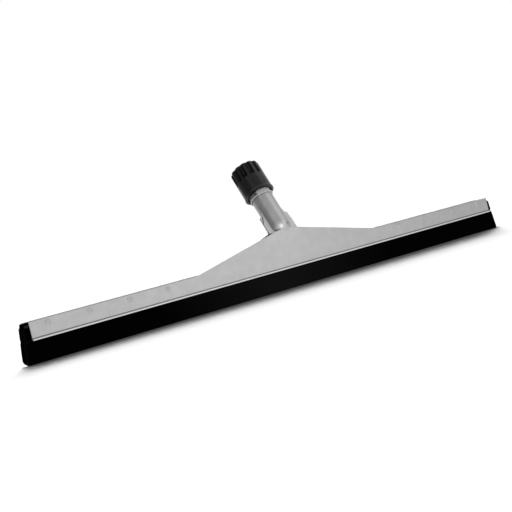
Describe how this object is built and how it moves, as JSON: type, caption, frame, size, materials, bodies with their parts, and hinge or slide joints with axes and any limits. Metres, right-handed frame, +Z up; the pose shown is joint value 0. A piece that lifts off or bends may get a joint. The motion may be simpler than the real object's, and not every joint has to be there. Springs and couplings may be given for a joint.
{
  "type": "floor squeegee",
  "caption": "Long steel-framed squeegee head with a double rubber blade and a leaning round socket with a screw clamp for a handle, for pushing water across floors.",
  "frame": {"origin": "middle of the blade's lower edge, where the two rubber strips meet the floor", "axes": "+X along the blade to the right seen from the front, +Y to the back, +Z up"},
  "size_m": [0.7704, 0.0795, 0.1771],
  "materials": {
    "plated_steel": "zinc-plated sheet, satin grey",
    "moss_rubber": "matt black foam rubber",
    "pale_plastic": "satin, moulded",
    "black_plastic": "satin, moulded"
  },
  "bodies": {
    "frame": {"front_plate": "plated_steel", "back_plate": "plated_steel", "front_blade": "moss_rubber", "rear_blade": "moss_rubber", "blade_rivets": "plated_steel", "socket_sleeve": "pale_plastic"},
    "grip": {"grip_ring": "pale_plastic"},
    "nut": {"clamp_nut": "black_plastic"}
  },
  "joints": [
    {"name": "grip_slide", "type": "slide", "parent": "frame", "child": "grip", "axis": [0, 0.4848, 0.8746], "range_m": [0, 0.008]},
    {"name": "nut_turn", "type": "hinge", "parent": "grip", "child": "nut", "pos_m": [0, 0.0011, 0.0823], "axis": [0, 0.4848, 0.8746], "range_deg": [0, 720]}
  ],
  "couplings": [
    {"joint": "grip_slide", "follows": "nut_turn", "m_per_rad": 0.0006366}
  ]
}
